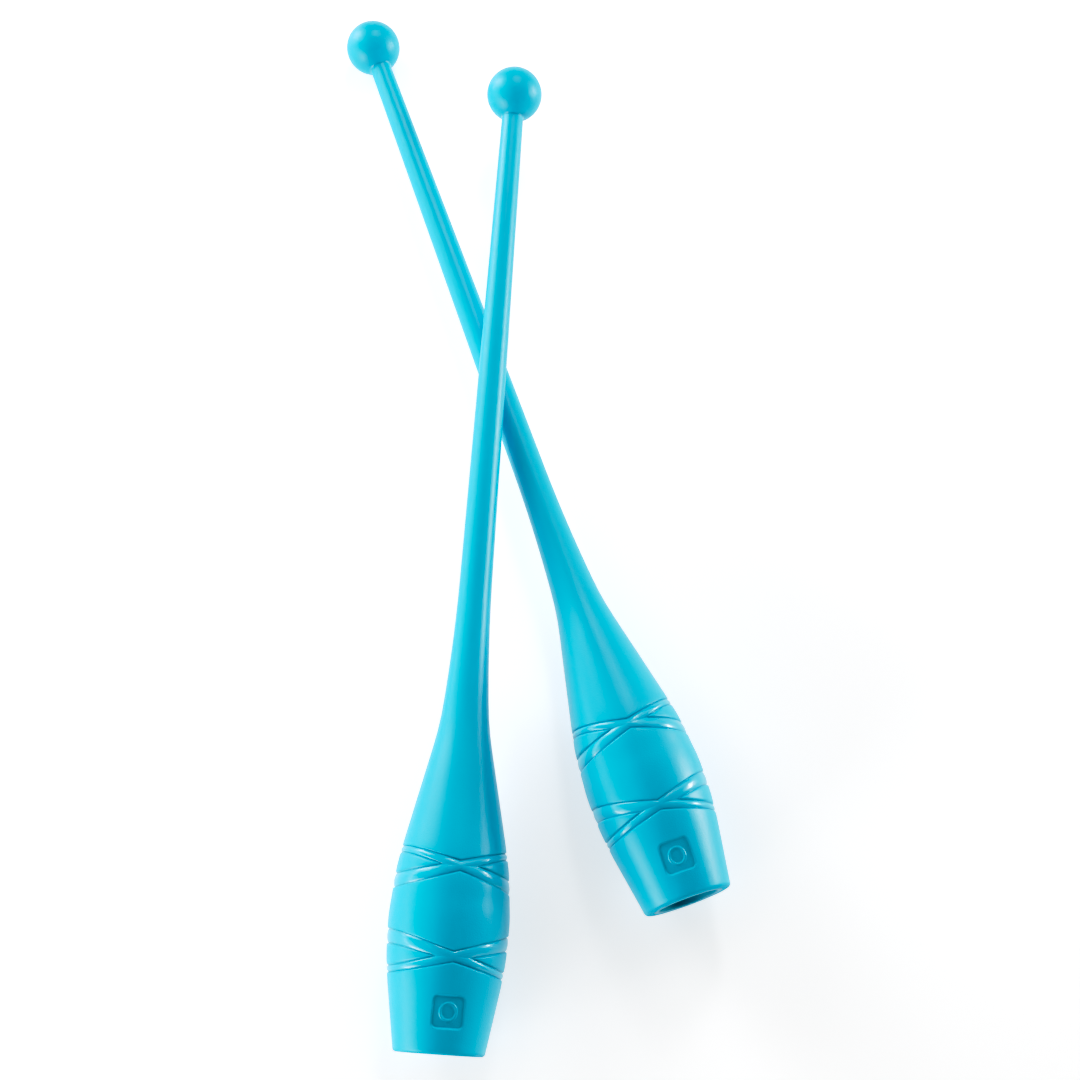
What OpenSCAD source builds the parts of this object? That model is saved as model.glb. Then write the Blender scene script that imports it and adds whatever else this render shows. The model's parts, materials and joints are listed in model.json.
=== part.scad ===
// A pair of linkable gymnastics clubs, laid crossed on a floor.
// Each club is drawn standing on its base along +Z, with its emblem panel facing +X,
// and is then laid down by place_club(). Millimetres, +Z up, floor at z = 0.

/* [Club] */
// Overall length of one club
club_len = 405; // [395:1:430]
// Diameter of the ball head
head_d = 23.2; // [22:0.1:24]
// Neck diameter where it enters the ball head
neck_d = 9; // [8.4:0.1:10]
// Largest diameter of the bulb
bulb_d = 45.9; // [44:0.1:48]
// Diameter of the base before its edge is rounded
base_d = 34.2; // [33:0.1:36]
// Radius of the rounded edge round the base
base_edge_r = 1.5; // [0.5:0.1:1.8]

/* [Outline] */
// Flare of the base cone from the club's axis, in degrees
base_angle = 9.5; // [9:0.1:10.5]
// Radius of the bulb's bulging arc
bulb_arc_r = 140; // [120:1:150]
// Slope of the shoulder from the club's axis, in degrees
shoulder_angle = 12.4; // [12:0.1:13.5]
// Radius of the short arc at the foot of the neck
foot_arc_r = 125; // [100:1:150]
// Slope where the short arc runs into the long one, in degrees
foot_angle = 4.9; // [4:0.1:6]
// Radius of the long arc up the neck
neck_arc_r = 680; // [600:1:760]
// Taper of the straight neck from the club's axis, in degrees
neck_angle = 0.55; // [0.4:0.01:0.6]

/* [Shell and core] */
// Wall thickness of the moulded shell round the bulb
shell_wall = 6.2; // [5.5:0.1:6.2]
// Diameter of the stiffening rod in the neck
rod_d = 6; // [5:0.1:6.2]
// Depth of the shell's seat in the ball head
head_seat = 1; // [0.6:0.1:2]
// Length of rod above the ball's centre
rod_above_centre = 4; // [0:0.5:5]
// Radial gap left at glued and pressed joints
joint_gap = 0.02; // [0.01:0.01:0.05]

/* [Neck plug] */
// Radius of the shell round the plug's wide end
plug_wide_r = 18.8; // [18:0.1:19]
// Radius of the shell round the plug's narrow end
plug_narrow_r = 11.8; // [11.8:0.1:12.4]
// Depth of the pockets in the plug's wide end
plug_pocket = 22; // [15:0.5:23]
// Thickness of the plug's wall, hub and ribs
plug_wall = 1.8; // [1.2:0.1:2]
// Number of ribs in the plug
plug_ribs = 6; // [3:1:8]

/* [Socket] */
// Radial room round a ball head in the socket
socket_room = 0.1; // [0.05:0.01:0.2]
// Depth of the socket's straight wall
socket_straight = 12; // [11:0.5:14]
// Wall thickness of the socket cup
cup_wall = 1.9; // [1.6:0.1:2.2]
// Lead-in chamfer at the socket's mouth
mouth_chamfer = 0.8; // [0.4:0.1:1]
// Length of the shell's bore that holds the cup
cup_seat = 18; // [17:0.5:20]
// Height of the snap bead that locks the cup behind its seat
bead_height = 0.6; // [0.3:0.1:1]
// Length of that bead
bead_length = 2; // [1:0.1:3]

/* [Bands] */
// Depth of the crossing bands
band_depth = 0.3; // [0.15:0.05:0.4]
// Width of a band on its wide side
band_wide = 5.2; // [4:0.1:5.5]
// Width of a band on its narrow side
band_narrow = 2.4; // [1.5:0.1:3]
// Height of the upper bands' high, narrow side
upper_band_high = 74; // [73:0.1:76]
// Height of the upper bands' low, wide side
upper_band_low = 62.2; // [61:0.1:64]
// Height of the lower bands' high, wide side
lower_band_high = 41.6; // [40:0.1:43]
// Height of the lower bands' low, narrow side
lower_band_low = 29.6; // [29:0.1:32]
// Lean of the bands' planes towards the base on the emblem's side, in degrees
band_lean = 1.5; // [0:0.1:3]

/* [Emblem panel] */
// Depth of the emblem panel
panel_depth = 0.35; // [0.2:0.05:0.5]
// Side of the emblem panel
panel_size = 11.8; // [10:0.1:13]
// Corner radius of the emblem panel
panel_corner_r = 2; // [1:0.1:3]
// Height of the emblem panel's centre above the base
panel_height = 15.2; // [13:0.1:16]
// Outer diameter of the plain ring left standing in the panel
ring_d = 7; // [5:0.5:8]
// Width of that ring
ring_width = 0.9; // [0.6:0.1:1.5]

/* [Lay] */
// Heading of the upper club, clockwise from +Y, in degrees
upper_heading = 3.9; // [0:0.1:10]
// Heading of the lower club, clockwise from +Y, in degrees
lower_heading = -19.2; // [-25:0.1:-12]
// Distance from the upper club's base to the crossing
upper_cross = 272; // [250:1:300]
// Distance from the lower club's base to the crossing
lower_cross = 228.5; // [210:0.5:260]
// Gap between the two necks where one rests on the other
rest_gap = 0.03; // [0.02:0.01:0.1]
// Turn of the upper club about its own axis, in degrees
upper_roll = 10; // [-20:1:20]
// Turn of the lower club about its own axis, in degrees
lower_roll = 0; // [-20:1:20]

/* [Hidden] */
$fn = 96;

head_r = head_d / 2;
neck_r = neck_d / 2;
bulb_r = bulb_d / 2;
base_r = base_d / 2;
rod_r = rod_d / 2;
head_z = club_len - head_r;
seat_z = head_z - sqrt(head_r * head_r - neck_r * neck_r) + head_seat;

// The outline is a chain of straight lines and arcs, as [height, radius] points.
// arc() goes on from point p, turning from one slope to the next at radius r.
function arc(p, r, from, to, steps) =
    let (side = to > from ? 1 : -1)
    [for (i = [1:steps])
        let (a = from + (to - from) * i / steps)
        [p[0] + side * r * (sin(a) - sin(from)), p[1] - side * r * (cos(a) - cos(from))]];
function last(list) = list[len(list) - 1];
function along(p, a, length) = [p[0] + length * cos(a), p[1] + length * sin(a)];

edge_start = [0, base_r - base_edge_r * tan((90 - base_angle) / 2)];
base_edge = arc(edge_start, base_edge_r, 90, base_angle, 5);
base_line = (bulb_r - base_r - bulb_arc_r * (1 - cos(base_angle))) / sin(base_angle);
bulb_start = along([0, base_r], base_angle, base_line);
bulb_arc = arc(bulb_start, bulb_arc_r, base_angle, -shoulder_angle, 10);

// The shoulder and neck lines take up what the arcs leave of the club's length and radius.
foot_rise = foot_arc_r * (sin(shoulder_angle) - sin(foot_angle));
foot_drop = foot_arc_r * (cos(foot_angle) - cos(shoulder_angle));
neck_rise = neck_arc_r * (sin(foot_angle) - sin(neck_angle));
neck_drop = neck_arc_r * (cos(neck_angle) - cos(foot_angle));
lines_rise = seat_z - last(bulb_arc)[0] - foot_rise - neck_rise;
lines_drop = last(bulb_arc)[1] - foot_drop - neck_drop - neck_r;
shoulder_line = (lines_drop * cos(neck_angle) - lines_rise * sin(neck_angle))
    / sin(shoulder_angle - neck_angle);
foot_start = along(last(bulb_arc), -shoulder_angle, shoulder_line);
foot_arc = arc(foot_start, foot_arc_r, -shoulder_angle, -foot_angle, 5);
neck_arc = arc(last(foot_arc), neck_arc_r, -foot_angle, -neck_angle, 6);

outline = concat(
    [edge_start], base_edge, [bulb_start], bulb_arc, [foot_start], foot_arc, neck_arc,
    [[seat_z, neck_r]]
);
function radius_at(z) = lookup(z, outline);

// Heights on the shoulder, where the outline is a straight line.
function shoulder_height(r) = foot_start[0] - (r - foot_start[1]) / tan(shoulder_angle);
plug_low = shoulder_height(plug_wide_r);
plug_high = shoulder_height(plug_narrow_r);

socket_r = head_r + socket_room;
cup_r = socket_r + cup_wall;
bead_r = cup_r + bead_height;
cup_side = cup_seat + bead_length;

// The cavity follows the outline, one wall thickness inside it.
cavity = concat(
    [[cup_seat, radius_at(cup_seat) - shell_wall]],
    [for (p = outline) if (p[0] > cup_seat + 1 && p[0] < plug_high - 1) [p[0], p[1] - shell_wall]],
    [[plug_high, radius_at(plug_high) - shell_wall]]
);

// A pair of bands: [high side top, high side bottom, low side top, low side bottom].
function band_zone(high, high_width, low, low_width) =
    [high + high_width / 2, high - high_width / 2, low + low_width / 2, low - low_width / 2];
upper_zone = band_zone(upper_band_high, band_narrow, upper_band_low, band_wide);
lower_zone = band_zone(lower_band_high, band_wide, lower_band_low, band_narrow);
sleeve_r = bulb_r + 3;

// How the clubs lie. A tilt is positive where the head is higher than the base.
function turned(heading, tilt) = [sin(heading) * cos(tilt), cos(heading) * cos(tilt), sin(tilt)];
// The lower club stands on its head and its bulb.
lower_tilt = -max([for (p = outline)
    let (d = head_z - p[0], reach = norm([p[1], d]))
    if (reach > head_r) acos(head_r / reach) - atan2(d, p[1])]);
lower_dir = turned(lower_heading, lower_tilt);
lower_axis_z = head_r - (head_z - lower_cross) * sin(lower_tilt);
lower_base = [0, 0, lower_axis_z] - lower_cross * lower_dir;
// The upper club stands on its bulb and on the lower club's neck. Because the clubs are tilted and
// tapered, the necks are closest a little off the crossing, so the gap is searched for round it.
function upper_tilt_at(axis_z) = min([for (p = outline)
    let (d = upper_cross - p[0], reach = norm([p[1], d]))
    if (d > upper_cross / 2) atan2(d, p[1]) - acos(axis_z / reach)]);
function neck_gap(axis_z) =
    let (rise = [0, 0, axis_z - lower_axis_z], dir = turned(upper_heading, upper_tilt_at(axis_z)))
    min([for (s = [-12:0.5:12], t = [-12:0.5:12])
        norm(rise + t * dir - s * lower_dir)
            - radius_at(lower_cross + s) - radius_at(upper_cross + t)]);
function settled(axis_z, tries) =
    tries == 0 ? axis_z : settled(axis_z + rest_gap - neck_gap(axis_z), tries - 1);
upper_axis_z = settled(lower_axis_z + radius_at(lower_cross) + radius_at(upper_cross), 3);
upper_tilt = upper_tilt_at(upper_axis_z);
upper_dir = turned(upper_heading, upper_tilt);
upper_base = [0, 0, upper_axis_z] - upper_cross * upper_dir;

// The origin is the middle of the pair's footprint.
function reach_of(base, dir, axis, sign) = max(concat(
    [sign * (base[axis] + dir[axis] * head_z) + head_r],
    [for (p = outline)
        sign * (base[axis] + dir[axis] * p[0]) + p[1] * sqrt(1 - dir[axis] * dir[axis])]
));
function side(axis, sign) = sign * max(
    reach_of(lower_base, lower_dir, axis, sign), reach_of(upper_base, upper_dir, axis, sign)
);
origin_shift = -[side(0, 1) + side(0, -1), side(1, 1) + side(1, -1), 0] / 2;

club_colour = [0, 0.70, 0.84];
liner_colour = [0, 0.50, 0.62];
rod_colour = [0.78, 0.79, 0.80];
plug_colour = [0.90, 0.90, 0.87];

// Sets a standing club down with its base centre at base, its emblem panel uppermost.
module place_club(base, heading, tilt, roll) {
    translate(base + origin_shift)
        rotate([tilt, 0, -heading])
            rotate([0, -90, -90])
                rotate([0, 0, roll])
                    children();
}

module place_lower() {
    place_club(lower_base, lower_heading, lower_tilt, lower_roll) children();
}

module place_upper() {
    place_club(upper_base, upper_heading, upper_tilt, upper_roll) children();
}

// A solid of revolution from [height, radius] points, closed along the axis.
module turned_solid(points, inset = 0) {
    rotate_extrude()
        polygon(concat(
            [[0, points[0][0]]],
            [for (p = points) [p[1] - inset, p[0]]],
            [[0, last(points)[0]]]
        ));
}

// The space outside a skin of the given depth below the outline.
module outside_skin(depth) {
    difference() {
        cylinder(r = sleeve_r, h = seat_z);
        turned_solid(outline, depth);
    }
}

// A tilted ring between two planes, higher on the +Y side if side is 1.
module band_prism(zone, side) {
    high = side * (radius_at(zone[0]) + radius_at(zone[1])) / 2;
    low = -side * (radius_at(zone[2]) + radius_at(zone[3])) / 2;
    top_slope = (zone[0] - zone[2]) / (high - low);
    bottom_slope = (zone[1] - zone[3]) / (high - low);
    middle = (zone[0] + zone[3]) / 2;
    y = 2 * sleeve_r;
    translate([0, 0, middle])
        rotate([0, band_lean, 0])
            translate([0, 0, -middle])
                rotate([90, 0, 90])
                    linear_extrude(height = 4 * sleeve_r, center = true)
                        polygon([
                            [-y, zone[1] + (-y - high) * bottom_slope],
                            [y, zone[1] + (y - high) * bottom_slope],
                            [y, zone[0] + (y - high) * top_slope],
                            [-y, zone[0] + (-y - high) * top_slope]
                        ]);
}

module bands() {
    intersection() {
        outside_skin(band_depth);
        union() {
            for (zone = [upper_zone, lower_zone])
                for (side = [-1, 1])
                    band_prism(zone, side);
        }
    }
}

module rounded_square(size, corner_r) {
    inner = size - 2 * corner_r;
    square([size, inner], center = true);
    square([inner, size], center = true);
    for (x = [-1, 1])
        for (y = [-1, 1])
            translate([x, y] * inner / 2) circle(r = corner_r);
}

module emblem_panel() {
    intersection() {
        outside_skin(panel_depth);
        translate([0, 0, panel_height])
            rotate([0, 90, 0])
                linear_extrude(height = sleeve_r)
                    difference() {
                        rounded_square(panel_size, panel_corner_r);
                        difference() {
                            circle(d = ring_d);
                            circle(d = ring_d - 2 * ring_width);
                        }
                    }
    }
}

// One moulding: neck, shoulder, bulb and base, open at the base for the socket cup.
module shell() {
    color(club_colour)
        difference() {
            turned_solid(outline);
            turned_solid(cavity);
            translate([0, 0, -1]) cylinder(r = cup_r + joint_gap, h = cup_seat + 2);
            translate([0, 0, cup_seat]) cylinder(r = bead_r + joint_gap, h = bead_length + joint_gap);
            cylinder(r = rod_r + joint_gap, h = club_len);
            bands();
            emblem_panel();
        }
}

// Ball head, with a blind hole for the rod and a shallow seat for the end of the neck.
module head() {
    color(club_colour)
        difference() {
            translate([0, 0, head_z]) sphere(r = head_r);
            translate([0, 0, head_z - head_d])
                cylinder(r = rod_r + joint_gap, h = head_d + rod_above_centre + joint_gap);
            translate([0, 0, head_z - head_d])
                cylinder(r = neck_r + joint_gap, h = seat_z - head_z + head_d + joint_gap);
        }
}

// Rod from the neck plug, through the neck, into the ball head.
module core_rod() {
    color(rod_colour)
        translate([0, 0, plug_low])
            cylinder(r = rod_r, h = head_z + rod_above_centre - plug_low);
}

// Ribbed cone that wedges in the shoulder and holds the rod's lower end.
module neck_plug() {
    inset = shell_wall + joint_gap;
    wide = [plug_low, plug_wide_r - inset];
    narrow = [plug_high - joint_gap, plug_narrow_r - inset];
    pocket_top = plug_low + plug_pocket;
    color(plug_colour)
        difference() {
            turned_solid([wide, narrow]);
            difference() {
                turned_solid([
                    [plug_low, wide[1] - plug_wall],
                    [pocket_top, radius_at(pocket_top) - inset - plug_wall]
                ]);
                cylinder(r = rod_r + plug_wall, h = club_len);
                for (i = [0:plug_ribs - 1])
                    rotate([0, 0, i * 360 / plug_ribs])
                        translate([0, -plug_wall / 2, plug_low + plug_wall])
                            cube([bulb_d, plug_wall, plug_pocket]);
            }
            cylinder(r = rod_r + joint_gap, h = club_len);
        }
}

// Cup in the base that takes the ball head of another club. Drawn as half its section.
module socket_cup() {
    color(liner_colour)
        rotate_extrude()
            intersection() {
                square([bulb_d, club_len]);
                difference() {
                    union() {
                        square([cup_r, cup_side]);
                        translate([0, socket_straight]) circle(r = cup_r);
                        translate([0, cup_seat + joint_gap])
                            polygon([[0, 0], [bead_r, 0], [cup_r, bead_length], [0, bead_length]]);
                    }
                    translate([0, -1]) square([socket_r, socket_straight + 1]);
                    translate([0, socket_straight]) circle(r = socket_r);
                    polygon([[0, 0], [socket_r + mouth_chamfer, 0], [0, socket_r + mouth_chamfer]]);
                }
            }
}

place_lower() shell();  // lower_shell
place_lower() head();  // lower_head
place_lower() core_rod();  // lower_core_rod
place_lower() neck_plug();  // lower_neck_plug
place_lower() socket_cup();  // lower_socket_cup
place_upper() shell();  // upper_shell
place_upper() head();  // upper_head
place_upper() core_rod();  // upper_core_rod
place_upper() neck_plug();  // upper_neck_plug
place_upper() socket_cup();  // upper_socket_cup
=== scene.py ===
"""Looks for a crossed pair of linkable gymnastics clubs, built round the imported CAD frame.

Each club is designed standing on its base along +Z, in millimetres, with its emblem panel
facing +X. club_matrix() lays it where the record's mounts say the CAD club lies.
"""

import json
import math

import bpy
import numpy as np
from mathutils import Matrix, Vector


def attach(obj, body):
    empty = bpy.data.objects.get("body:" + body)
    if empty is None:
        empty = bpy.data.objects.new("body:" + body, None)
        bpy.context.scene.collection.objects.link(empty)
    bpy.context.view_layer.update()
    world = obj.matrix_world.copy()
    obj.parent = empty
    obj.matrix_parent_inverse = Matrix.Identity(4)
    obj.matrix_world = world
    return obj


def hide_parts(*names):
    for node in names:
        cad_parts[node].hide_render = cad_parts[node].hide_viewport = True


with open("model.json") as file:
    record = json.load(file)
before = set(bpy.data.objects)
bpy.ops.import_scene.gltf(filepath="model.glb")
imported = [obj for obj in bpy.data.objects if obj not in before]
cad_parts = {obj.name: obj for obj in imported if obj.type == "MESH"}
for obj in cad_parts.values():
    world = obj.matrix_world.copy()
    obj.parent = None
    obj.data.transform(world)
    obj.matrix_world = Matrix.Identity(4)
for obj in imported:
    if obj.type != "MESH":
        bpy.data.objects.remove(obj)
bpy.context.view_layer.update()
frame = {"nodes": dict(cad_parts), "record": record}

MM = 0.001

# Sizes shared with the CAD, in millimetres and degrees
CLUB_LEN = 405.0
HEAD_R = 11.6
NECK_R = 4.5
BULB_R = 22.95
BASE_R = 17.1
BASE_EDGE_R = 1.5
BASE_ANGLE = 9.5
BULB_ARC_R = 140.0
SHOULDER_ANGLE = 12.4
FOOT_ARC_R = 125.0
FOOT_ANGLE = 4.9
NECK_ARC_R = 680.0
NECK_ANGLE = 0.55
SHELL_WALL = 6.2
ROD_R = 3.0
ROD_ABOVE_CENTRE = 4.0
HEAD_SEAT = 1.0
JOINT_GAP = 0.02
PLUG_NARROW_R = 11.8
SOCKET_R = 11.7
SOCKET_STRAIGHT = 12.0
CUP_R = 13.6
CUP_SEAT = 18.0
BEAD_R = 14.2
BEAD_LENGTH = 2.0
MOUTH_CHAMFER = 0.8
PANEL_SIZE = 11.8
PANEL_CORNER_R = 2.0
PANEL_HEIGHT = 15.2
RING_R = 3.05
CLUB_ROLL = {"upper": 10.0, "lower": 0.0}

# A pair of crossing bands: height and width on the high side, then on the low side, then
# how much lower the bands run on the emblem's side than halfway round
LOWER_ZONE = (41.6, 5.2, 29.6, 2.4, 0.76)
UPPER_ZONE = (74.0, 2.4, 62.2, 5.2, 0.32)

# Relief of the moulding in millimetres, finer than the CAD's. A band is lowest in the notch
# along its edge and highest at its crown, and the body beside it rounds down to the notch.
# CROWN_SHARE of a band's height is its broad crown, and the rest is the sharp notch.
NOTCH_DEPTH = 0.7
CROWN_DEPTH = 0.08
NOTCH_LENGTH = 0.28
CROWN_SHARE = 0.7
SHOULDER_DEPTH = 0.12
SHOULDER_LENGTH = 1.2

# The slight waist between the two band zones
WAIST_DEPTH = 0.2
WAIST_HEIGHT = 56.5
WAIST_LENGTH = 4.0

# The emblem panel is sunk flat, with soft edges, and a plain ring stands in it. An edge is
# how far outside and how far inside the outline its slope reaches.
PANEL_DEPTH = 0.5
PANEL_FLATTENING = 0.35
PANEL_EDGE = (-0.3, 0.35)
RING_HALF_WIDTH = 0.45
RING_HEIGHT = 0.8 * PANEL_DEPTH
RING_EDGE = (-0.25, 0.35)

# The relief fades out between these distances below the shell's upper end
RELIEF_FADE = (5.0, 10.0)

# Painted shade that the plastic's material reads: darker along the bands' edges, and in the
# panel, most of all along the panel's own edge
CREVICE_SHADE_LENGTH = 0.25
PANEL_SHADE = 0.42
PANEL_SHADE_EDGE = (-0.1, 0.4)
PANEL_SHADE_LENGTH = 0.5

# How far outside and inside a band's edge its gloss sets in, and how matt the base's rounded
# edge is, at the base and at the side
BAND_GLOSS_EDGE = (-0.1, 0.25)
RIM_MATT = (1.0, 0.2)

# The edge of the shell's seat for the cup, and the fillet under a head: its radius, the rows
# that its whole arc would have, and how many rows are painted dark as shade in the joint
SEAT_CHAMFER = 0.25
FILLET_R = 0.8
FILLET_ARC_ROWS = 10
FILLET_SHADE_ROWS = 3

# Columns of points round a head or a cup
ROUND_COLUMNS = 144

HEAD_Z = CLUB_LEN - HEAD_R
SEAT_Z = HEAD_Z - math.sqrt(HEAD_R**2 - NECK_R**2) + HEAD_SEAT


def sine(degrees):
    return math.sin(math.radians(degrees))


def cosine(degrees):
    return math.cos(math.radians(degrees))


def arc(start, radius, slope, next_slope, steps=48):
    """[height, radius] points that turn from one slope to the next after the start point."""
    side = 1 if next_slope > slope else -1
    angles = [slope + (next_slope - slope) * i / steps for i in range(1, steps + 1)]
    return [
        (
            start[0] + side * radius * (sine(a) - sine(slope)),
            start[1] - side * radius * (cosine(a) - cosine(slope)),
        )
        for a in angles
    ]


def along(start, slope, length):
    return (start[0] + length * cosine(slope), start[1] + length * sine(slope))


def club_outline():
    """The base edge, then the chain of lines and arcs above it, as [height, radius] points."""
    tangent = BASE_EDGE_R * math.tan(math.radians((90 - BASE_ANGLE) / 2))
    edge_start = (0.0, BASE_R - tangent)
    edge = [edge_start] + arc(edge_start, BASE_EDGE_R, 90, BASE_ANGLE, 7)
    rise = BULB_R - BASE_R - BULB_ARC_R * (1 - cosine(BASE_ANGLE))
    bulb_start = along((0.0, BASE_R), BASE_ANGLE, rise / sine(BASE_ANGLE))
    bulb = arc(bulb_start, BULB_ARC_R, BASE_ANGLE, -SHOULDER_ANGLE)
    foot_rise = FOOT_ARC_R * (sine(SHOULDER_ANGLE) - sine(FOOT_ANGLE))
    foot_drop = FOOT_ARC_R * (cosine(FOOT_ANGLE) - cosine(SHOULDER_ANGLE))
    neck_rise = NECK_ARC_R * (sine(FOOT_ANGLE) - sine(NECK_ANGLE))
    neck_drop = NECK_ARC_R * (cosine(NECK_ANGLE) - cosine(FOOT_ANGLE))
    lines_rise = SEAT_Z - bulb[-1][0] - foot_rise - neck_rise
    lines_drop = bulb[-1][1] - foot_drop - neck_drop - NECK_R
    across = lines_drop * cosine(NECK_ANGLE) - lines_rise * sine(NECK_ANGLE)
    shoulder_line = across / sine(SHOULDER_ANGLE - NECK_ANGLE)
    foot_start = along(bulb[-1], -SHOULDER_ANGLE, shoulder_line)
    foot = arc(foot_start, FOOT_ARC_R, -SHOULDER_ANGLE, -FOOT_ANGLE)
    neck = arc(foot[-1], NECK_ARC_R, -FOOT_ANGLE, -NECK_ANGLE)
    side = [bulb_start] + bulb + [foot_start] + foot + neck + [(SEAT_Z, NECK_R)]
    return edge, side, foot_start


EDGE, SIDE, FOOT_START = club_outline()
SIDE_POINTS = np.array([EDGE[-1]] + SIDE)
PLUG_HIGH = FOOT_START[0] - (PLUG_NARROW_R - FOOT_START[1]) / math.tan(
    math.radians(SHOULDER_ANGLE)
)


def radius_at(z):
    """Radius of the outline above the base edge."""
    return np.interp(z, SIDE_POINTS[:, 0], SIDE_POINTS[:, 1])


def smooth_step(x, low, high):
    t = np.clip((x - low) / (high - low), 0, 1)
    return t * t * (3 - 2 * t)


def band_edges(zone, side, phi):
    """(bottom, top) heights of the band that is high on one side, at the angles phi."""
    high, high_width, low, low_width, lean = zone
    edges = []
    for half in (-0.5, 0.5):
        high_edge = high + half * high_width
        low_edge = low + half * low_width
        middle = (high_edge + low_edge) / 2
        swing = (high_edge - low_edge) / 2
        edges.append(middle - lean * np.cos(phi) + side * swing * np.sin(phi))
    return edges


def band_relief(phi, z):
    """Depth of the bands and of the softened body beside them, and how far inside a band."""
    surface = np.full(z.shape, -np.inf)
    inside = np.full(z.shape, -np.inf)
    for zone in (LOWER_ZONE, UPPER_ZONE):
        for side in (1, -1):
            bottom, top = band_edges(zone, side, phi)
            distance = np.minimum(top - z, z - bottom)
            part = np.clip(2 * distance / (top - bottom), 0, 1)
            notch = np.exp(-((np.maximum(distance, 0) / NOTCH_LENGTH) ** 2))
            hollow = CROWN_SHARE * (1 - part) ** 2 + (1 - CROWN_SHARE) * notch
            depth = CROWN_DEPTH + (NOTCH_DEPTH - CROWN_DEPTH) * hollow
            surface = np.maximum(surface, np.where(distance > 0, -depth, -np.inf))
            inside = np.maximum(inside, distance)
    away = np.maximum(-inside, 0)
    shoulder = SHOULDER_DEPTH * np.exp(-away / SHOULDER_LENGTH)
    wall = (NOTCH_DEPTH - SHOULDER_DEPTH) * np.exp(-((away / NOTCH_LENGTH) ** 2))
    depth = np.where(inside > 0, -surface, shoulder + wall)
    return depth, inside


def panel_relief(phi, z, radius):
    """Depth of the emblem panel, with a plain ring standing in it, and how far inside it."""
    across = radius * np.sin(phi)
    up = z - PANEL_HEIGHT
    half = PANEL_SIZE / 2 - PANEL_CORNER_R
    corner = np.hypot(np.maximum(np.abs(across) - half, 0), np.maximum(np.abs(up) - half, 0))
    inner = np.minimum(np.maximum(np.abs(across) - half, np.abs(up) - half), 0)
    inside = PANEL_CORNER_R - corner - inner
    ring = RING_HALF_WIDTH - np.abs(np.hypot(across, up) - RING_R)
    flatter = PANEL_FLATTENING * (1 - (2 * across / PANEL_SIZE) ** 2)
    depth = (PANEL_DEPTH + flatter) * smooth_step(inside, *PANEL_EDGE)
    depth -= RING_HEIGHT * smooth_step(ring, *RING_EDGE)
    facing = np.cos(phi) > 0
    return np.where(facing, depth, 0), np.where(facing, inside, -np.inf)


def waist_relief(z):
    return WAIST_DEPTH * np.exp(-(((z - WAIST_HEIGHT) / WAIST_LENGTH) ** 2))


def column_angles():
    """Angles round the club: finer across the emblem panel, and with one exactly on its middle."""
    fine_half, fine_steps, coarse_steps = 22.0, 38, 142
    fine = np.linspace(0, fine_half, fine_steps + 1)
    coarse = np.linspace(fine_half, 180, coarse_steps + 1)[1:]
    right = np.concatenate([fine, coarse])
    left = -right[1:-1][::-1]
    return np.radians(np.concatenate([right, left]))


def eased(steps):
    """Fractions from 0 up to but not including 1, closer together at both ends."""
    return (1 - np.cos(np.pi * np.arange(steps) / steps)) / 2


def even(steps):
    return np.arange(steps) / steps


def zone_guides(zone, phi):
    """Height curves that the rows of a band zone follow, so that every edge lies on a row.

    The island is the body between the two bands; it shrinks to a sliver where they cross.
    """
    least_half = 0.3
    low_bottom, low_top = band_edges(zone, -1, np.abs(phi))
    high_bottom, high_top = band_edges(zone, 1, np.abs(phi))
    middle = (low_top + high_bottom) / 2
    half_island = np.maximum((high_bottom - low_top) / 2, least_half)
    return low_bottom, middle - half_island, middle + half_island, high_top


def shell_heights(phi):
    """Heights of every row of the shell's outside above the base edge, one column per angle.

    Each guide is a height, level or following a band's edge, and the fractions at which the
    rows above it lie on the way to the next guide.
    """
    margin = 1.2
    panel_low, panel_high, below_bands = 8.6, 21.9, 24.5
    between_low, between_high = 48.0, 55.0
    above_bands, bulb_end, mid_neck = 80.0, 84.0, 204.0
    approach = even(6) ** 0.5
    departure = np.concatenate([[0], 1 - approach[:0:-1]])

    def zone_rows(zone):
        bottom, island_bottom, island_top, top = zone_guides(zone, phi)
        return [
            (bottom - margin, approach),
            (bottom, eased(12)),
            (island_bottom, eased(14)),
            (island_top, eased(12)),
            (top, departure),
            (top + margin, even(4)),
        ]

    guides = [
        (EDGE[-1][0], even(5)),
        (panel_low, even(53)),
        (panel_high, even(2)),
        (below_bands, even(4)),
        *zone_rows(LOWER_ZONE),
        (between_low, even(4)),
        (between_high, even(4)),
        *zone_rows(UPPER_ZONE),
        (above_bands, even(4)),
        (bulb_end, even(20)),
        (mid_neck, even(16)),
        (SEAT_Z, [0]),
    ]
    level = np.ones_like(phi)
    rows = []
    for (start, fractions), (stop, _) in zip(guides, guides[1:]):
        rows += [(start + (stop - start) * fraction) * level for fraction in fractions]
    rows.append(SEAT_Z * level)
    return np.array(rows)


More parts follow.
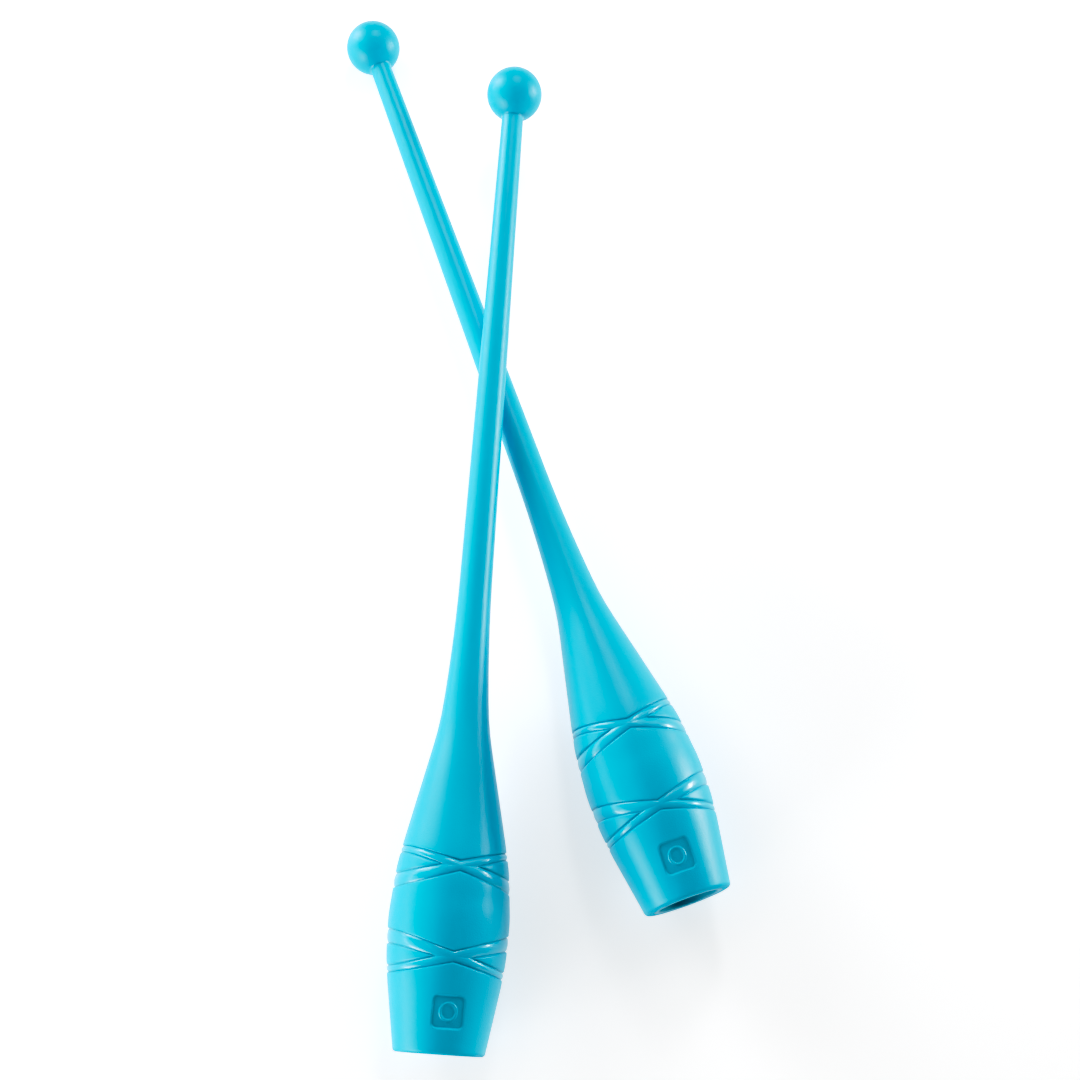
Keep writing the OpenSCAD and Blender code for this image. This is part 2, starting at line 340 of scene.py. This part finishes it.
def grid_mesh(name, points, corners, closed):
    """A smooth mesh from rows of points round the axis.

    corners are the rows along which the shading breaks. A closed mesh joins its last row to
    its first; an open one is closed by a point on the axis at each end.
    """
    rows, columns, _ = points.shape
    lower = np.arange(rows if closed else rows - 1)
    upper = (lower + 1) % rows
    here = np.arange(columns)
    there = (here + 1) % columns
    quads = np.stack(
        [
            (lower[:, None] * columns + here).ravel(),
            (lower[:, None] * columns + there).ravel(),
            (upper[:, None] * columns + there).ravel(),
            (upper[:, None] * columns + here).ravel(),
        ],
        axis=1,
    )
    faces = quads.tolist()
    vertices = points.reshape(-1, 3)
    if not closed:
        poles = [points[0].mean(0), points[-1].mean(0)]
        poles[0][:2] = 0
        poles[1][:2] = 0
        vertices = np.vstack([vertices, poles])
        last = (rows - 1) * columns
        count = rows * columns
        faces += [(count, b, a) for a, b in zip(here.tolist(), there.tolist())]
        faces += [(count + 1, last + a, last + b) for a, b in zip(here.tolist(), there.tolist())]
    mesh = bpy.data.meshes.new(name)
    mesh.from_pydata((vertices * MM).tolist(), [], faces)
    mesh.polygons.foreach_set("use_smooth", [True] * len(mesh.polygons))
    ends = np.zeros(len(mesh.edges) * 2, int)
    mesh.edges.foreach_get("vertices", ends)
    row_of = ends.reshape(-1, 2) // columns
    sharp = (row_of[:, 0] == row_of[:, 1]) & np.isin(row_of[:, 0], corners)
    mesh.attributes.new("sharp_edge", "BOOLEAN", "EDGE").data.foreach_set("value", sharp)
    mesh.validate()
    mesh.update()
    return mesh


def store(mesh, name, values):
    """Keeps a value from 0 to 1 at each grid point; a pole on the axis takes the last one."""
    short = len(mesh.vertices) - values.size
    whole = np.concatenate([values.ravel(), np.full(short, values.flat[-1])])
    mesh.attributes.new(name, "FLOAT", "POINT").data.foreach_set("value", whole)


def round_angles():
    return np.radians(np.arange(ROUND_COLUMNS) * 360 / ROUND_COLUMNS)


def turned_points(profile, phi):
    """Points round the axis for a profile of [height, radius] points."""
    height, radius = np.array(profile, float).T
    across = np.outer(radius, np.cos(phi))
    beside = np.outer(radius, np.sin(phi))
    return np.dstack([across, beside, np.repeat(height[:, None], len(phi), 1)])


def shell_mesh():
    """The neck, shoulder, bulb and base in one moulding, hollow as the CAD's."""
    phi = column_angles()
    heights = shell_heights(phi)
    angles = np.broadcast_to(phi, heights.shape)
    outline = radius_at(heights)
    bands, in_band = band_relief(angles, heights)
    panel, in_panel = panel_relief(angles, heights, outline)
    relief = bands + panel + waist_relief(heights)
    fade = smooth_step(SEAT_Z - heights, *RELIEF_FADE)
    radius = outline - relief * fade
    side = np.dstack([radius * np.cos(phi), radius * np.sin(phi), heights])

    cavity_heights = np.linspace(CUP_SEAT + BEAD_LENGTH + JOINT_GAP, PLUG_HIGH, 14)
    cavity = [(z, radius_at(z) - SHELL_WALL) for z in cavity_heights]
    inner = [
        (SEAT_Z, ROD_R + JOINT_GAP),
        (PLUG_HIGH, ROD_R + JOINT_GAP),
        *cavity[::-1],
        (cavity_heights[0], BEAD_R + JOINT_GAP),
        (CUP_SEAT, BEAD_R + JOINT_GAP),
        (CUP_SEAT, CUP_R + JOINT_GAP),
        (SEAT_CHAMFER, CUP_R + JOINT_GAP),
        (0.0, CUP_R + JOINT_GAP + SEAT_CHAMFER),
    ]
    edge = turned_points(EDGE[:-1], phi)
    points = np.concatenate([edge, side, turned_points(inner, phi)])
    first_inner = len(edge) + len(side)
    corners = [first_inner - 1] + list(range(first_inner, len(points)))
    mesh = grid_mesh("club_shell", points, corners, closed=True)

    gloss = smooth_step(in_band, *BAND_GLOSS_EDGE)
    # Painted shade: darker along the bands' edges and over the emblem panel, most of all along its
    # edge
    crevice_painted_shade = np.exp(-((in_band / CREVICE_SHADE_LENGTH) ** 2))
    panel_edge_shade = np.exp(-((in_panel / PANEL_SHADE_LENGTH) ** 2))
    crevice_painted_shade += PANEL_SHADE * smooth_step(in_panel, *PANEL_SHADE_EDGE) * (1 + panel_edge_shade)
    for name, value in (("band", gloss), ("crevice_painted_shade", crevice_painted_shade)):
        whole = np.zeros(points.shape[:2])
        whole[len(edge) : first_inner] = value
        store(mesh, name, whole)
    cut = np.zeros(points.shape[:2])
    cut[: len(edge)] = np.linspace(*RIM_MATT, len(edge))[:, None]
    cut[first_inner:] = 1
    store(mesh, "cut", cut)
    return mesh


def head_mesh():
    """Ball head, filleted on to the neck, with the rod's hole and the neck's seat inside."""
    neck = NECK_R + JOINT_GAP
    centre_r = neck + FILLET_R
    fillet_z = HEAD_Z - math.sqrt((HEAD_R + FILLET_R) ** 2 - centre_r**2)
    touch = math.degrees(math.atan2(HEAD_Z - fillet_z, centre_r))
    fillet = [
        (fillet_z + FILLET_R * sine(a), centre_r - FILLET_R * cosine(a))
        for a in np.linspace(0, 180 - touch, FILLET_ARC_ROWS)
        if a < touch
    ]
    ball = [
        (HEAD_Z - HEAD_R * sine(a), HEAD_R * cosine(a))
        for a in np.linspace(touch, -89, 72)
    ]
    rod_top = HEAD_Z + ROD_ABOVE_CENTRE + JOINT_GAP
    inner = [
        (rod_top, ROD_R + JOINT_GAP),
        (SEAT_Z + JOINT_GAP, ROD_R + JOINT_GAP),
        (SEAT_Z + JOINT_GAP, neck),
    ]
    points = turned_points(inner + fillet + ball, round_angles())
    mesh = grid_mesh("ball_head", points, [0, 1, 2, 3], closed=False)
    glossy = np.zeros(points.shape[:2])
    glossy[len(inner) : len(inner) + len(fillet)] = 1
    store(mesh, "band", glossy)
    # Painted shade: the rows in the rod's hole and the first rows of the fillet are darkened, as
    # shade in the joint with the neck
    painted_joint_shade = np.zeros(points.shape[:2])
    painted_joint_shade[: len(inner) + FILLET_SHADE_ROWS] = 1
    store(mesh, "crevice_painted_shade", painted_joint_shade)
    return mesh


def cup_mesh():
    """Socket lining: a cup with a rounded lip, and a bead that locks it behind its seat."""
    near_axis = 1.5
    mouth = [
        (MOUTH_CHAMFER * (1 - cosine(a)) + JOINT_GAP, SOCKET_R + MOUTH_CHAMFER * (1 - sine(a)))
        for a in np.linspace(90, 0, 7)
    ]
    dome = [
        (SOCKET_STRAIGHT + SOCKET_R * sine(a), SOCKET_R * cosine(a))
        for a in np.linspace(90 - near_axis, 0, 32)
    ]
    outer_start = math.degrees(math.acos((CUP_SEAT + BEAD_LENGTH - SOCKET_STRAIGHT) / CUP_R))
    outer_dome = [
        (SOCKET_STRAIGHT + CUP_R * cosine(a), CUP_R * sine(a))
        for a in np.linspace(outer_start, near_axis, 18)
    ]
    outer = [
        (JOINT_GAP, CUP_R),
        (CUP_SEAT + JOINT_GAP, CUP_R),
        (CUP_SEAT + JOINT_GAP, BEAD_R),
        (CUP_SEAT + BEAD_LENGTH, CUP_R),
    ]
    profile = dome + mouth + outer + outer_dome
    first = len(dome) + len(mouth)
    corners = range(first, first + len(outer) + 1)
    points = turned_points(profile, round_angles())
    return grid_mesh("socket_cup", points, list(corners), closed=False)


# ---------------------------------------------------------------- materials

# Colours are linear. Noise and wave scales are per metre, and bump heights are in metres.
PLASTIC_DEEP = (0.0, 0.295, 0.485)
PLASTIC_PALE = (0.0, 0.315, 0.51)
# Painted shade: the darker colour taken along the bands' edges, in the emblem panel and at the
# head's joint
PLASTIC_PAINTED_SHADE = (0.0, 0.17, 0.28)
PAINTED_SHADE_STRENGTH = 0.5
GRAIN_SCALE = 2000
FLOW_SCALE = 60
PLASTIC_BUMP = 0.0001

# Roughness and gloss of the plain plastic, of the moulded bands and of the cut rim
CLUB_SATIN = 0.39
BALL_SATIN = 0.43
SATIN_SPREAD = 0.04
BAND_ROUGHNESS = 0.34
CUT_ROUGHNESS = 0.7
PLASTIC_SPECULAR = 0.385
CUT_SPECULAR = 0.15
BAND_COAT = 0.28


def new_material(name):
    """A new material, its node tree and its Principled shader."""
    material = bpy.data.materials.new(name)
    material.use_nodes = True
    tree = material.node_tree
    return material, tree, tree.nodes["Principled BSDF"]


def feed(tree, value, socket):
    """Gives a socket a number or a colour, or links another node's socket to it."""
    if isinstance(value, bpy.types.NodeSocket):
        tree.links.new(value, socket)
    elif isinstance(value, tuple):
        socket.default_value = (*value, 1)
    else:
        socket.default_value = value


def noise(tree, coordinates, scale, detail=2.0, roughness=0.5):
    node = tree.nodes.new("ShaderNodeTexNoise")
    node.inputs["Scale"].default_value = scale
    node.inputs["Detail"].default_value = detail
    node.inputs["Roughness"].default_value = roughness
    tree.links.new(coordinates, node.inputs["Vector"])
    return node.outputs["Fac"]


def remap(tree, value, low, high, from_low=0.0, from_high=1.0):
    """Stretches from_low to from_high over low to high."""
    node = tree.nodes.new("ShaderNodeMapRange")
    node.inputs["From Min"].default_value = from_low
    node.inputs["From Max"].default_value = from_high
    node.inputs["To Min"].default_value = low
    node.inputs["To Max"].default_value = high
    tree.links.new(value, node.inputs["Value"])
    return node.outputs["Result"]


def mix_values(tree, factor, first, second):
    node = tree.nodes.new("ShaderNodeMix")
    node.data_type = "FLOAT"
    feed(tree, factor, node.inputs[0])
    feed(tree, first, node.inputs[2])
    feed(tree, second, node.inputs[3])
    return node.outputs[0]


def mix_colours(tree, factor, first, second):
    node = tree.nodes.new("ShaderNodeMix")
    node.data_type = "RGBA"
    feed(tree, factor, node.inputs[0])
    feed(tree, first, node.inputs[6])
    feed(tree, second, node.inputs[7])
    return node.outputs[2]


def bump(tree, height, distance, strength, normal=None):
    """A bump of the given height in metres. strength may be a number or a socket."""
    node = tree.nodes.new("ShaderNodeBump")
    node.inputs["Distance"].default_value = distance
    feed(tree, strength, node.inputs["Strength"])
    feed(tree, height, node.inputs["Height"])
    if normal:
        feed(tree, normal, node.inputs["Normal"])
    return node.outputs["Normal"]


def scaled(tree, source, scale):
    mapping = tree.nodes.new("ShaderNodeMapping")
    mapping.inputs["Scale"].default_value = scale
    tree.links.new(source, mapping.inputs["Vector"])
    return mapping.outputs["Vector"]


def club_coordinates(tree, scale=(1, 1, 1)):
    """Place in the club's own frame, in metres, for the pieces that add_piece() makes."""
    place = tree.nodes.new("ShaderNodeAttribute")
    place.attribute_name = "club_place"
    return scaled(tree, place.outputs["Vector"], scale)


def object_coordinates(tree, scale=(1, 1, 1)):
    return scaled(tree, tree.nodes.new("ShaderNodeTexCoord").outputs["Object"], scale)


def surface_value(tree, name):
    """A value from 0 to 1 that store() kept at every point, or 0 on a mesh that has none."""
    node = tree.nodes.new("ShaderNodeAttribute")
    node.attribute_name = name
    return node.outputs["Fac"]


def club_plastic(name, satin):
    """Moulded turquoise plastic with a fine grain and the given roughness.

    The bands are a little smoother and glossier, the grooves beside them and the emblem panel
    are painted darker as shade, and the cut rim of the base is matt.
    """
    material, tree, shader = new_material(name)
    band = surface_value(tree, "band")
    cut = surface_value(tree, "cut")
    crevice_painted_shade = surface_value(tree, "crevice_painted_shade")
    grain = noise(tree, club_coordinates(tree), GRAIN_SCALE, detail=2, roughness=0.6)
    flow = noise(tree, club_coordinates(tree, (1, 1, 0.25)), FLOW_SCALE, detail=3)

    cloud = remap(tree, flow, low=0, high=1, from_low=0.35, from_high=0.65)
    # Painted shade: darker toward the groove colour where the stored crevice shade is high
    painted_groove_shade = remap(tree, crevice_painted_shade, low=0, high=PAINTED_SHADE_STRENGTH)
    clouded = mix_colours(tree, cloud, PLASTIC_DEEP, PLASTIC_PALE)
    shaded = mix_colours(tree, painted_groove_shade, clouded, PLASTIC_PAINTED_SHADE)
    feed(tree, shaded, shader.inputs["Base Color"])

    grained = remap(tree, grain, satin - SATIN_SPREAD, satin + SATIN_SPREAD, 0.3, 0.7)
    moulded = mix_values(tree, band, grained, BAND_ROUGHNESS)
    specular = mix_values(tree, cut, PLASTIC_SPECULAR, CUT_SPECULAR)
    feed(tree, mix_values(tree, cut, moulded, CUT_ROUGHNESS), shader.inputs["Roughness"])
    feed(tree, specular, shader.inputs["Specular IOR Level"])
    feed(tree, mix_values(tree, band, 0.0, BAND_COAT), shader.inputs["Coat Weight"])
    feed(tree, 0.1, shader.inputs["Coat Roughness"])

    fine = bump(tree, grain, PLASTIC_BUMP, mix_values(tree, band, 0.7, 0.05))
    feed(tree, bump(tree, flow, PLASTIC_BUMP, 0.3, fine), shader.inputs["Normal"])
    return material


def cup_rubber():
    """Smooth satin turquoise elastomer, with faint rings from its mould."""
    material, tree, shader = new_material("cup_rubber")
    place = club_coordinates(tree)
    rings = tree.nodes.new("ShaderNodeTexWave")
    rings.bands_direction = "Z"
    feed(tree, 500, rings.inputs["Scale"])
    feed(tree, 0.3, rings.inputs["Distortion"])
    feed(tree, place, rings.inputs["Vector"])
    cloud = noise(tree, place, scale=180, detail=3)
    # Painted shade: this turquoise is darker than the shell's, standing in for the shade inside
    # the recess that the cup lines
    colour = mix_colours(tree, cloud, (0.0, 0.165, 0.285), (0.0, 0.19, 0.32))
    feed(tree, colour, shader.inputs["Base Color"])
    feed(tree, remap(tree, cloud, low=0.42, high=0.5), shader.inputs["Roughness"])
    feed(tree, 0.4, shader.inputs["Specular IOR Level"])
    ringed = bump(tree, rings.outputs["Fac"], distance=0.00002, strength=0.3)
    feed(tree, ringed, shader.inputs["Normal"])
    return material


def rod_metal():
    """Drawn aluminium, brushed along its length."""
    material, tree, shader = new_material("rod_metal")
    along_rod = object_coordinates(tree, (1, 0.02, 1))
    streaks = noise(tree, along_rod, scale=4000, detail=3, roughness=0.7)
    feed(tree, (0.78, 0.79, 0.80), shader.inputs["Base Color"])
    feed(tree, 1, shader.inputs["Metallic"])
    feed(tree, remap(tree, streaks, low=0.22, high=0.4), shader.inputs["Roughness"])
    brushed = bump(tree, streaks, distance=0.00002, strength=0.4)
    feed(tree, brushed, shader.inputs["Normal"])
    return material


def plug_plastic():
    """Natural uncoloured moulded plastic."""
    material, tree, shader = new_material("plug_plastic")
    place = object_coordinates(tree)
    cloud = noise(tree, place, scale=120, detail=3)
    grain = noise(tree, place, scale=2200)
    colour = mix_colours(tree, cloud, (0.82, 0.82, 0.76), (0.88, 0.88, 0.83))
    feed(tree, colour, shader.inputs["Base Color"])
    feed(tree, 0.5, shader.inputs["Roughness"])
    feed(tree, 0.1, shader.inputs["Subsurface Weight"])
    feed(tree, 0.002, shader.inputs["Subsurface Scale"])
    feed(tree, bump(tree, grain, distance=0.00003, strength=0.3), shader.inputs["Normal"])
    return material


def floor_paper():
    """Plain pale studio paper, with a glow that stands in for light from a wide white room."""
    material, tree, shader = new_material("floor_paper")
    fibre = noise(tree, object_coordinates(tree), scale=900, detail=3)
    feed(tree, (0.93, 0.93, 0.93), shader.inputs["Base Color"])
    feed(tree, 0.9, shader.inputs["Roughness"])
    feed(tree, 0.1, shader.inputs["Specular IOR Level"])
    feed(tree, (1.0, 1.0, 1.0), shader.inputs["Emission Color"])
    feed(tree, FLOOR_GLOW, shader.inputs["Emission Strength"])
    feed(tree, bump(tree, fibre, distance=0.00002, strength=0.2), shader.inputs["Normal"])
    return material


# ------------------------------------------------------------------- pieces


def mount(name):
    return next(m for m in frame["record"]["mounts"] if m["name"] == name)


def club_matrix(club):
    """Lays a club's own axes where the record says: its ball's centre and its axis."""
    head = mount(club + "_head")
    axis = Vector(head["axis"]).normalized()
    up = (Vector((0, 0, 1)) - axis * axis.z).normalized()
    right = axis.cross(up)
    roll = math.radians(CLUB_ROLL[club])
    emblem = up * math.cos(roll) + right * math.sin(roll)
    beside = right * math.cos(roll) - up * math.sin(roll)
    base = Vector(head["pos_m"]) - axis * HEAD_Z * MM
    turn = Matrix((emblem, beside, axis)).transposed().to_4x4()
    return Matrix.Translation(base) @ turn


def add_piece(name, design, material, club, node):
    """Places a copy of a club-frame mesh, whose points keep their club-frame place.

    The materials read that place, so the grain lies the same way on both clubs.
    """
    mesh = design.copy()
    place = np.zeros(len(mesh.vertices) * 3, np.float32)
    mesh.vertices.foreach_get("co", place)
    mesh.attributes.new("club_place", "FLOAT_VECTOR", "POINT").data.foreach_set("vector", place)
    mesh.transform(club_matrix(club))
    mesh.materials.append(material)
    piece = bpy.data.objects.new(name, mesh)
    bpy.context.scene.collection.objects.link(piece)
    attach(piece, club + "_club")
    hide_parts(node)


def dress_node(node, material):
    """Gives a CAD node that stays its material."""
    mesh = frame["nodes"][node].data
    mesh.materials.clear()
    mesh.materials.append(material)


def build_clubs():
    plastic = club_plastic("club_plastic", CLUB_SATIN)
    ball_plastic = club_plastic("ball_plastic", BALL_SATIN)
    rubber = cup_rubber()
    metal = rod_metal()
    natural = plug_plastic()
    shell = shell_mesh()
    head = head_mesh()
    cup = cup_mesh()
    for club in ("lower", "upper"):
        add_piece(club + "_club_shell", shell, plastic, club, club + "_shell")
        add_piece(club + "_ball_head", head, ball_plastic, club, club + "_head")
        add_piece(club + "_socket_lining", cup, rubber, club, club + "_socket_cup")
        dress_node(club + "_core_rod", metal)
        dress_node(club + "_neck_plug", natural)


# -------------------------------------------------------------------- stage

# Softboxes round the clubs: azimuth from +X towards +Y, elevation, width and height in
# degrees, and brightness. The brightest are low on the left, low at the back left and low on
# the right. back_streak draws the narrow streak down the lower club's shoulder.
SOFTBOX_DISTANCE = 1.3
SOFTBOX_WATTS = 10.0
SOFTBOXES = {
    "left_front_low": (222, 7, 27, 12, 7.8),
    "left_front": (222, 19, 27, 12, 3.0),
    "left_low": (194, 7, 27, 12, 2.4),
    "left": (194, 19, 27, 12, 0.9),
    "left_rear": (166, 7, 27, 12, 2.1),
    "left_back_low": (138, 7, 22, 12, 7.0),
    "left_back": (138, 25, 27, 24, 3.0),
    "left_back_spot": (138, 22, 8, 7, 6.5),
    "right_strip": (14, 7, 20, 10, 18.0),
    "right_front": (318, 13, 27, 24, 0.9),
    "right_back": (42, 31, 27, 37, 0.8),
    "back_streak": (81, 45, 12, 12, 9.0),
    "back_right": (75, 34, 28, 20, 0.8),
    "top_right": (60, 60, 52, 18, 0.9),
    "top_back": (120, 60, 52, 18, 0.6),
    "top_left": (180, 60, 52, 18, 0.7),
}
BACKDROP_BRIGHTNESS = 1.6

# The floor is a disc just inside the softboxes, a hair below the clubs
FLOOR_REACH = 1.25
FLOOR_DROP = 0.0002
FLOOR_GLOW = 0.65

# The picture's tones: the faint red of the reflections is held back, and tones above the
# knee are pressed together, as in a bright print
RED_BLACK_LEVEL = 0.069
KNEE = 0.63
KNEE_SOFTNESS = 0.12
SLOPE_ABOVE_KNEE = 0.35


def add_floor():
    mesh = bpy.data.meshes.new("floor")
    edge = [
        (FLOOR_REACH * cosine(a), FLOOR_REACH * sine(a), -FLOOR_DROP) for a in range(0, 360, 5)
    ]
    mesh.from_pydata(edge, [], [range(len(edge))])
    mesh.materials.append(floor_paper())
    floor = bpy.data.objects.new("floor", mesh)
    bpy.context.scene.collection.objects.link(floor)


def add_softbox(name, azimuth, elevation, width, height, brightness):
    """A softbox facing the clubs. The angles, in degrees, say where it is and how big it looks."""
    across = cosine(elevation)
    toward = Vector((cosine(azimuth) * across, sine(azimuth) * across, sine(elevation)))
    light = bpy.data.lights.new(name, "AREA")
    light.shape = "RECTANGLE"
    light.size = 2 * SOFTBOX_DISTANCE * math.tan(math.radians(width / 2)) * across
    light.size_y = 2 * SOFTBOX_DISTANCE * math.tan(math.radians(height / 2))
    light.energy = SOFTBOX_WATTS * brightness * light.size * light.size_y
    softbox = bpy.data.objects.new(name, light)
    bpy.context.scene.collection.objects.link(softbox)
    softbox.location = toward * SOFTBOX_DISTANCE
    softbox.rotation_euler = (-toward).to_track_quat("-Z", "Y").to_euler()
    softbox.visible_camera = False


def add_backdrop():
    """A white surround that the camera sees and that gives no light."""
    world = bpy.data.worlds.new("studio")
    world.use_nodes = True
    tree = world.node_tree
    background = tree.nodes["Background"]
    background.inputs["Color"].default_value = (*[BACKDROP_BRIGHTNESS] * 3, 1)
    path = tree.nodes.new("ShaderNodeLightPath")
    tree.links.new(path.outputs["Is Camera Ray"], background.inputs["Strength"])
    bpy.context.scene.world = world


def toned(x):
    """Tone curve: straight up to the knee, then bending over to a gentler slope."""
    bend = KNEE_SOFTNESS * math.log1p(math.exp((x - KNEE) / KNEE_SOFTNESS))
    return x - (1 - SLOPE_ABOVE_KNEE) * bend


def grade():
    """Standard colours through the tone curve."""
    settings = bpy.context.scene.view_settings
    settings.view_transform = "Standard"
    settings.use_curve_mapping = True
    mapping = settings.curve_mapping
    white = KNEE + (1 - KNEE) / SLOPE_ABOVE_KNEE
    mapping.black_level = (RED_BLACK_LEVEL, 0, 0)
    mapping.white_level = (white, white, white)
    all_channels = mapping.curves[3]
    steps = 16
    for step in range(1, steps):
        all_channels.points.new(step / steps, toned(white * step / steps))
    mapping.update()


def add_lights():
    for name, softbox in SOFTBOXES.items():
        add_softbox(name, *softbox)


def add_camera():
    """The photo's viewing angle: from the bases' side, high above the floor."""
    elevation = 73.7
    distance = 0.7499
    lens = 62.3
    target = Vector((0.00648, -0.01966, 0.020))
    back = Vector((0, -cosine(elevation), sine(elevation)))
    data = bpy.data.cameras.new("camera")
    data.lens = lens
    data.sensor_width = 36
    camera = bpy.data.objects.new("camera", data)
    bpy.context.scene.collection.objects.link(camera)
    camera.location = target + back * distance
    camera.rotation_euler = (-back).to_track_quat("-Z", "Y").to_euler()
    bpy.context.scene.camera = camera


build_clubs()
add_floor()
add_lights()
add_backdrop()
grade()
add_camera()
